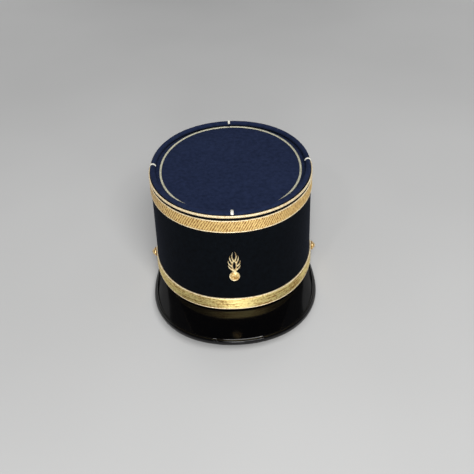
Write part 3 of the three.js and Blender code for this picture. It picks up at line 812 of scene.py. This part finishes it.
# Wide lace band with slanted ribs
def build_galon():
    angles, run = even_angles(BRAID_STEPS, lambda a: side_under(a, GALON_DROP, GAP))
    along = run[:-1]
    pitch = even_pitch(run[-1], LACE_RIB_PITCH)
    half = GALON_HEIGHT / 2
    rows = lace_rows([1.0, 0.985, 0.93, 0.87, 0.835], 0.8, 25)
    cord_from, cord_shoulder, cord_pitch, cord_tucked = 0.83, 0.35, 0.9, 0.05
    field, rib_depth, thread_depth, thread_pitch = 0.78 * GALON_THICK, 0.13, 0.03, 0.8
    sunk, back_sunk = 0.1, 0.15
    points = np.empty((len(angles), len(rows) + 1, 3))
    for k, across in enumerate(rows):
        height = across * half
        if abs(across) >= cord_from:
            out = cord_out(across, cord_from, GALON_THICK, cord_shoulder, along, cord_pitch, cord_tucked)
        else:
            ribs = rib_depth * np.sin(TURN * (along - LACE_RIB_SLANT * height) / pitch)
            out = field + ribs + thread_depth * np.sin(TURN * height / thread_pitch)
        points[:, k] = side_under(angles, GALON_DROP + half - height, GAP - sunk + out)
    points[:, -1] = side_under(angles, GALON_DROP + half, GAP - back_sunk)
    v = np.append(rows * half, 0.0)
    # the UVs are stretched so that the painted rib shade in the lace's colour lies on its modelled ribs
    obj = skin("galon_lace", points, run * LACE_RIB_PITCH / pitch, v, True, galon_gold)
    cord_edges(obj, len(rows))
    return stand_for(obj, "galon")


# Chin strap: threads along its length and round ends under the buttons
def build_strap():
    half = STRAP_WIDTH / 2
    middle = STRAP_LOW + half
    end = angle_at_back(STRAP_END_BACK, middle)
    steps, fine_angles = 1000, 6000
    fine = np.linspace(2 * FRONT - end, end, fine_angles)
    angles, run = even_steps(fine, lambda a: side_at(a, middle, 0.0), steps)
    # round ends: a share of the full width that never comes down to nothing
    least_squared = 0.02
    tip = np.clip(np.minimum(run, run[-1] - run) / half, 0, 1)
    width = np.sqrt(np.clip(1 - (1 - tip) ** 2, least_squared, 1))
    rows = lace_rows([1.0, 0.985, 0.93, 0.88, 0.85], 0.82, 27)
    cord_from, cord_shoulder, cord_pitch, cord_tucked = 0.85, 0.5, 1.1, 0.1
    field, swell, thread_depth, thread_pitch = 0.8 * STRAP_THICK, 0.1, 0.06, 1.15
    break_seed, break_depth, break_length, break_spread = 31, 0.05, 14.0, 9.0
    sunk, back_sunk = 0.05, 0.1
    points = np.empty((len(angles), len(rows) + 1, 3))
    for k, across in enumerate(rows):
        height = across * half
        if abs(across) >= cord_from:
            out = cord_out(across, cord_from, STRAP_THICK, cord_shoulder, run, cord_pitch, cord_tucked)
        else:
            threads = thread_depth * np.sin(TURN * height / thread_pitch)
            breaks = break_depth * waves(break_seed, run, run[-1], break_spread * height, break_length)
            out = field + swell * (1 - across**2) + threads + breaks
        points[:, k] = side_at(angles, middle + height * width, GAP - sunk + out)
    points[:, -1] = side_at(angles, np.full(len(angles), middle), GAP - back_sunk)
    v = np.append(rows * half, 0.0)
    obj = skin("chin_strap_lace", points, run, v, False, strap_gold)
    cord_edges(obj, len(rows))
    return stand_for(obj, "chin_strap")


# Relief work for the badge and the buttons, drawn flat: X right, Y up, Z out
def bezier(points, steps):
    controls = np.asarray(points, float)
    t = np.linspace(0, 1, steps)[:, None]
    degree = len(controls) - 1
    total = np.zeros((steps, controls.shape[1]))
    for k in range(degree + 1):
        total += math.comb(degree, k) * t**k * (1 - t) ** (degree - k) * controls[k]
    return total


def tongue(points, widths, height, steps=26):
    """A flame: a tapering ridge along a curve. widths are half widths at even steps."""
    line = bezier(points, steps)
    run = np.linspace(0, 1, steps)
    half = np.interp(run, np.linspace(0, 1, len(widths)), widths)
    along = np.gradient(line, axis=0)
    along /= np.linalg.norm(along, axis=1)[:, None]
    side_x, side_y = -along[:, 1], along[:, 0]
    profile = mirrored([(-1.0, 0.0), (-0.92, 0.42), (-0.55, 0.72), (-0.16, 0.86)], 1.0)
    # narrow stretches are lower, but never under a third of the height
    growth, lowest = 1.6, 0.35
    taper = np.clip(half / max(widths) * growth, lowest, 1)
    verts = np.empty((steps, len(profile), 3))
    for k, (across, high) in enumerate(profile):
        verts[:, k, 0] = line[:, 0] + side_x * half * across
        verts[:, k, 1] = line[:, 1] + side_y * half * across
        verts[:, k, 2] = height * high * taper
    unrolled_length, unrolled_width = 0.01, 0.002
    u = run * unrolled_length
    v = np.linspace(0, unrolled_width, len(profile))
    return skin_parts(verts, u, v, False)


def ball(radius, dome, thick, centre_y, relief):
    """A round boss: a flat rim, a groove, and a dome inside it with a little relief."""
    steps, dome_rings = 48, 22
    turn = np.arange(steps) * TURN / steps
    # outline of the rim: shares of the radius and of the rim's thickness
    rim = [(1.0, 0.0), (1.0, 0.85), (0.98, 1.08), (0.94, 1.2)]
    rim += [(0.89, 1.15), (0.85, 0.9), (0.82, 0.55), (0.79, 0.55)]
    groove = thick * rim[-1][1]
    rows = [(share, thick * high) for share, high in rim]
    rows += [(share, None) for share in np.linspace(BALL_DOME_SHARE, 0.04, dome_rings)]
    rows += [(0.02, 0.0), (0.5, 0.0)]
    verts = np.empty((steps, len(rows), 3))
    for k, (share, z) in enumerate(rows):
        x, y = share * radius * np.cos(turn), share * radius * np.sin(turn)
        if z is None:
            bulge = math.sqrt(max(0.0, 1 - (share / BALL_DOME_SHARE) ** 2))
            z = groove + (dome - groove) * bulge + relief(x, y)
        verts[:, k, 0], verts[:, k, 1] = x, y + centre_y
        verts[:, k, 2] = z
    step_round, step_across = 0.001, 0.0005
    return skin_parts(verts, np.arange(steps + 1) * step_round, np.arange(len(rows)) * step_across, True)


# The badge's flames on its +X side: a curve in mm above the ball's foot, half widths, share of the height
FLAMES = [
    ([(0.5, 11.6), (2.6, 14.6), (2.6, 19.0), (0.4, 22.4)], [0.75, 0.7, 0.7, 0.65], 1.0),
    ([(0.3, 21.8), (1.4, 24.0), (3.4, 27.0), (0.8, 32.1)], [0.7, 0.7, 0.62, 0.1], 1.0),
    ([(1.0, 11.2), (3.0, 13.2), (5.4, 14.2), (5.8, 17.8)], [1.0, 0.8, 0.62, 0.1], 0.85),
    ([(2.3, 15.8), (3.8, 17.6), (5.8, 18.4), (5.8, 22.8)], [0.85, 0.7, 0.6, 0.1], 0.9),
    ([(2.1, 19.4), (3.0, 22.5), (5.2, 24.0), (3.7, 27.9)], [0.85, 0.7, 0.6, 0.1], 0.9),
]


def flames(scale, height):
    """The flames of a grenade above its ball, with the openings left between them."""
    parts = []
    for curve, widths, level in FLAMES:
        for sign in (-1, 1):
            shape = [(sign * x * scale, y * scale) for x, y in curve]
            parts.append(tongue(shape, [width * scale for width in widths], height * level))
    return parts


def grenade_relief(x, y):
    """Worn relief on the ball: a curl round its right side and a hollow beside it."""
    curl_height, curl_radius, curl_width, curl_fade = 0.7, 2.5, 0.6, 1.6
    hollow_depth, hollow_x, hollow_y, hollow_size, field_radius = 0.8, -0.9, -1.1, 0.9, 3.6
    off_centre = np.hypot(x, y)
    rightwards = np.clip(x / curl_fade + 0.4, 0, 1)
    curl = curl_height * np.exp(-(((off_centre - curl_radius) / curl_width) ** 2)) * rightwards
    hollow = hollow_depth * np.exp(-((x - hollow_x) ** 2 + (y - hollow_y) ** 2) / hollow_size)
    return curl - hollow * np.clip(field_radius - off_centre, 0, 1)


def build_grenade():
    low = side_at(np.array([FRONT]), BADGE_LOW, GAP)[0]
    high = side_at(np.array([FRONT]), BADGE_LOW + BADGE_HEIGHT, GAP)[0]
    up = (high - low) / np.linalg.norm(high - low)
    across = np.array([1.0, 0, 0])
    out = np.cross(across, up)
    neck = tongue([(0, 9.0), (0, 13.0)], [2.2, 1.7], height=1.2, steps=8)
    boss = ball(BALL_RADIUS, dome=1.9, thick=1.3, centre_y=BALL_RADIUS, relief=grenade_relief)
    parts = flames(scale=1.0, height=1.5) + [neck, boss]
    badge = join_parts("grenade_badge", lay_out(parts, low, across, up, out), pale_gilt)
    # the ball is the last part, and its field inside the rim is a deeper gold
    badge.data.materials.append(ball_gilt)
    flat, (quads,), _ = boss
    centres = flat[quads].mean(1)
    off_centre = np.hypot(centres[:, 0], centres[:, 1] - BALL_RADIUS)
    index = np.zeros(len(badge.data.polygons), np.int32)
    index[-len(quads) :] = off_centre < BALL_FIELD_SHARE * BALL_RADIUS
    badge.data.polygons.foreach_set("material_index", index)
    return stand_for(badge, "grenade")


def button_relief(x, y):
    """Faint rays round the foot of the button's dome."""
    rays, depth, rays_from = 8, 0.05, 2.6
    return depth * np.cos(rays * np.arctan2(y, x)) * np.clip(np.hypot(x, y) - rays_from, 0, 1)


def button_flames(dome):
    """A small grenade that lies over the button's dome."""
    scale, height, shift_down, sunk = 0.125, 0.28, 1.9, 0.05
    dome_radius = 0.84 * BUTTON_RADIUS
    dome_foot = 0.82 * BUTTON_RIM
    parts = flames(scale, height)
    parts.append(tongue([(0, 0.1), (0, 1.3)], [0.62, 0.62], height=0.34, steps=8))
    for verts, _, _ in parts:
        verts[:, 1] -= shift_down
        off_centre = np.hypot(verts[:, 0], verts[:, 1]) / dome_radius
        bulge = np.sqrt(np.clip(1 - off_centre**2, 0, 1))
        verts[:, 2] += dome_foot + (dome - dome_foot) * bulge - sunk
    return parts


def build_button(name, sign):
    angle = angle_at_back(BUTTON_BACK, BUTTON_HEIGHT)
    seat = side_at(np.array([angle]), BUTTON_HEIGHT, GAP + STRAP_THICK + 2 * GAP)[0]
    seat = np.array([sign * seat[0], seat[1], seat[2]])
    out_x, out_y = oval_out(angle, *BASE_OVAL)
    out = np.array([sign * float(out_x), float(out_y), 0.0])
    up = np.array([0, 0, 1.0])
    across = np.cross(up, out)
    worn_off = 0.25
    dome = BUTTON_RIM + BUTTON_DOME - worn_off
    boss = ball(BUTTON_RADIUS, dome, thick=BUTTON_RIM, centre_y=0.0, relief=button_relief)
    parts = [boss] + button_flames(dome)
    obj = join_parts(name + "_gilt", lay_out(parts, seat, across, up, out), gilt)
    return stand_for(obj, name)


# Peak
def edge_share(turn):
    """Share of the peak's drop at a turn from the tip, on a smooth curve through the listed points."""
    turns, shares = PEAK_EDGE_TURN, PEAK_EDGE_SHARE
    turn = abs(turn)
    i = 1
    while i < len(turns) - 2 and turns[i + 1] <= turn:
        i += 1

    def slope(k):
        after = min(k + 1, len(turns) - 1)
        return (shares[after] - shares[k - 1]) / (turns[after] - turns[k - 1])

    width = turns[i + 1] - turns[i]
    t = (turn - turns[i]) / width
    return (
        (2 * t**3 - 3 * t**2 + 1) * shares[i]
        + (t**3 - 2 * t**2 + t) * slope(i) * width
        + (3 * t**2 - 2 * t**3) * shares[i + 1]
        + (t**3 - t**2) * slope(i + 1) * width
    )


def peak_root(along, height):
    """Where the peak meets the crown, from along -1 at its left end to 1 at its right end."""
    return side_at(FRONT + np.radians(PEAK_ROOT_TURN * along), height, GAP)


def peak_at(along, reach):
    """Top of the peak, from reach 0 at the crown to 1 at the edge."""
    root = peak_root(along, PEAK_ROOT_HEIGHT)
    turn = PEAK_END_TURN * along
    centre = PEAK_CENTRE_SHARE * BASE_HALF_LENGTH
    half_width = BASE_HALF_WIDTH - PEAK_SIDE_INSET
    half_length = BASE_HALF_LENGTH + PEAK_LENGTH - centre
    x, y = oval(np.radians(turn) + FRONT, half_width, half_length, PEAK_SQUARENESS)
    share = np.array([edge_share(float(a)) for a in turn])
    edge = np.stack([x, y - centre, -PEAK_DROP * share], -1)
    reach = np.broadcast_to(reach, along.shape)
    point = root + (edge - root) * reach[:, None]
    bowed = np.sign(reach) * np.abs(reach) ** PEAK_BOW
    point[:, 2] = root[:, 2] + (edge[:, 2] - root[:, 2]) * bowed
    return point


def peak_width(along):
    """Distance from the peak's edge to the crown, square to the edge."""
    step = 0.01
    inwards = peak_at(along, 0.0) - peak_at(along, 1.0)
    forth = peak_at(along + step, 1.0) - peak_at(along - step, 1.0)
    length = np.hypot(forth[:, 0], forth[:, 1])
    return np.abs(inwards[:, 0] * forth[:, 1] - inwards[:, 1] * forth[:, 0]) / length


def build_peak():
    along = np.linspace(-1, 1, PEAK_STEPS + 1)
    spans, lower_every = 30, 3
    reaches = np.linspace(0, 1, spans + 1)
    upper = [peak_at(along, reach) for reach in reaches]
    below = np.array([0, 0, PEAK_THICK])
    lower = [peak_at(along, reach) - below for reach in reaches[::-lower_every]]
    lower[-1] = peak_root(along, PEAK_ROOT_HEIGHT - PEAK_THICK)
    points = np.stack(upper + lower, 1)
    u = (along + 1) / 2 * PEAK_EDGE_RUN
    v = np.linspace(0, PEAK_ROUND, points.shape[1])
    return stand_for(skin("peak_leather", points, u, v, False, patent), "peak")


def binding_section():
    """Section of the binding, as (arm, offset, lift) in mm. The arm's length shrinks towards the ends."""
    inner = -PEAK_THICK - GAP
    low = inner - BINDING_THICK
    high = GAP + BINDING_THICK
    under_fold = 0.3
    section = [
        (-BINDING_WIDTH, 0.0, GAP),
        (-BINDING_WIDTH / 2, 0.0, GAP),
        (0.0, GAP, GAP),
        (0.0, GAP, inner),
        (-BINDING_UNDER / 2, 0.0, inner),
        (-BINDING_UNDER, 0.0, inner),
        (-BINDING_UNDER, 0.0, low + under_fold),
        (-BINDING_UNDER, under_fold, low),
    ]
    # round outer face, a little squarer than a half circle
    round_steps, round_depth, flatter_out, flatter_up = 18, 1.5, 0.75, 0.8
    middle = (high + low) / 2
    reach = (high - low) / 2
    for turn in np.linspace(-math.pi / 2, math.pi / 2, round_steps + 1):
        out, up = abs(math.cos(turn)), math.sin(turn)
        offset = high - round_depth + round_depth * out**flatter_out
        section.append((0.0, offset, middle + reach * math.copysign(abs(up) ** flatter_up, up)))
    # groove and bead on top: shares of the width inwards, and depths in mm
    groove = [(0.3, 0.15), (0.42, 0.55), (0.52, 0.8), (0.62, 0.6)]
    bead = [(0.72, 0.2), (0.82, 0.15), (0.92, 0.5), (1.0, 1.1)]
    section += [(-share * BINDING_WIDTH, 0.0, high - depth) for share, depth in groove + bead]
    return section


def build_binding():
    along = np.linspace(-1, 1, PEAK_STEPS + 1)
    width = peak_width(along)
    share = np.minimum(1, BINDING_END_SHARE * width / BINDING_WIDTH)
    section = binding_section()
    points = np.empty((len(along), len(section), 3))
    for k, (arm, offset, lift) in enumerate(section):
        points[:, k] = peak_at(along, 1 + (arm * share + offset) / width)
        points[:, k, 2] += lift
    u = (along + 1) / 2 * PEAK_EDGE_RUN
    v = np.linspace(0, BINDING_ROUND, len(section))
    obj = skin("binding_leather", points, u, v, False, patent_edge)
    return stand_for(obj, "peak_binding")


# Floor, light and camera
def build_floor():
    mesh = bpy.data.meshes.new("floor")
    corners = [(x * FLOOR_REACH, y * FLOOR_REACH, 0) for x, y in ((-1, -1), (1, -1), (1, 1), (-1, 1))]
    mesh.from_pydata(corners, [], [(0, 1, 2, 3)])
    mesh.materials.append(floor_material())
    obj = bpy.data.objects.new("floor", mesh)
    bpy.context.scene.collection.objects.link(obj)


def area_light(name, at, size, power):
    light = bpy.data.lights.new(name, "AREA")
    light.shape = "RECTANGLE"
    light.size, light.size_y = size
    light.energy = power
    obj = bpy.data.objects.new(name, light)
    obj.location = at
    obj.rotation_mode = "QUATERNION"
    obj.rotation_quaternion = (Vector(LIGHT_TARGET) - Vector(at)).to_track_quat("-Z", "Y")
    bpy.context.scene.collection.objects.link(obj)


def set_world():
    world = bpy.data.worlds.new("studio")
    bpy.context.scene.world = world
    world.use_nodes = True
    background = world.node_tree.nodes["Background"]
    background.inputs["Color"].default_value = WORLD_COLOUR
    background.inputs["Strength"].default_value = WORLD_STRENGTH


def camera_axes():
    """The camera's right, up and back, leant with the hat."""
    above, yaw, roll = (math.radians(angle) for angle in (CAMERA_UP_ANGLE, CAMERA_YAW, CAMERA_ROLL))
    back = Vector((math.sin(yaw) * math.cos(above), -math.cos(yaw) * math.cos(above), math.sin(above)))
    right = (-back).cross(Vector((0, 0, 1))).normalized()
    up = right.cross(-back)
    rolled_right = math.cos(roll) * right + math.sin(roll) * up
    rolled_up = -math.sin(roll) * right + math.cos(roll) * up
    lean = Matrix.Rotation(LEAN, 3, "X")
    return [lean @ axis for axis in (rolled_right, rolled_up, back)]


def set_camera():
    data = bpy.data.cameras.new("camera")
    data.sensor_width = CAMERA_SENSOR
    data.lens = CAMERA_LENS
    data.clip_start, data.clip_end = 0.01, 20
    camera = bpy.data.objects.new("camera", data)
    turn = Matrix(camera_axes()).transposed().to_4x4()
    camera.matrix_world = Matrix.Translation(Vector(place(np.array(CAMERA_AT)))) @ turn
    bpy.context.scene.collection.objects.link(camera)
    bpy.context.scene.camera = camera
    bpy.context.scene.view_settings.view_transform = "Standard"


build_crown_side()
build_top_disc()
build_rim_roll()
build_top_ring()
build_ticks()
build_upper_braid()
build_galon()
build_strap()
build_grenade()
build_button("button_left", -1)
build_button("button_right", 1)
build_peak()
build_binding()
build_floor()
for lamp in LIGHTS:
    area_light(*lamp)
set_world()
set_camera()
